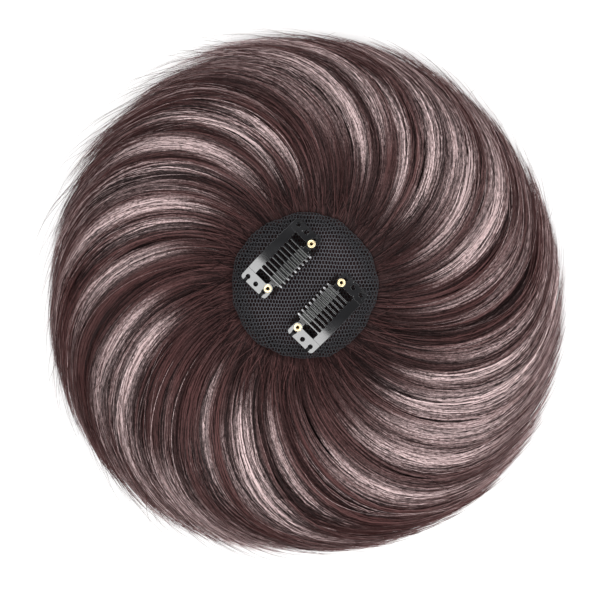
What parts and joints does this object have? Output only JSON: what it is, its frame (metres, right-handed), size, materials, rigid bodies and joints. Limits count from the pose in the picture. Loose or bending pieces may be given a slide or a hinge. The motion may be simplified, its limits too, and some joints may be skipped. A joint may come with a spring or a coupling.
{
  "type": "clip-in hair topper",
  "caption": "Clip-in hair topper lying clip side up: a round net base with snap comb clips, and dark brown hair that spreads from under it in a swirl of locks.",
  "frame": {"origin": "on the surface it lies on, under the middle of the hair's outline", "axes": "+Z up, away from the surface and out of the clip side; +X to the right and +Y up as seen from above in the picture"},
  "size_m": [0.2042, 0.2042, 0.0196],
  "materials": {
    "hair": "glossy dark brown hair",
    "net": "black open net",
    "clip_steel": "glossy black lacquer",
    "grip_rubber": "satin ribbed",
    "rivet_brass": "polished"
  },
  "bodies": {
    "topper": {"hair": "hair", "base_net": "net", "left_clip_near_end_plate": "clip_steel", "left_clip_far_end_plate": "clip_steel", "left_clip_bar": "clip_steel", "left_clip_grip": "grip_rubber", "left_clip_near_rivet": "rivet_brass", "left_clip_far_rivet": "rivet_brass", "right_clip_near_end_plate": "clip_steel", "right_clip_far_end_plate": "clip_steel", "right_clip_bar": "clip_steel", "right_clip_grip": "grip_rubber", "right_clip_near_rivet": "rivet_brass", "right_clip_far_rivet": "rivet_brass"},
    "left_comb": {"left_clip_comb": "clip_steel"},
    "right_comb": {"right_clip_comb": "clip_steel"}
  },
  "joints": [
    {"name": "left_clip_snap", "type": "hinge", "parent": "topper", "child": "left_comb", "pos_m": [-0.01432, 0.01786, 0.01591], "axis": [-0.6997, -0.7145, 0], "range_deg": [0, 35]},
    {"name": "right_clip_snap", "type": "hinge", "parent": "topper", "child": "right_comb", "pos_m": [0.01312, -0.01266, 0.01591], "axis": [0.6997, 0.7145, 0], "range_deg": [0, 35]}
  ]
}
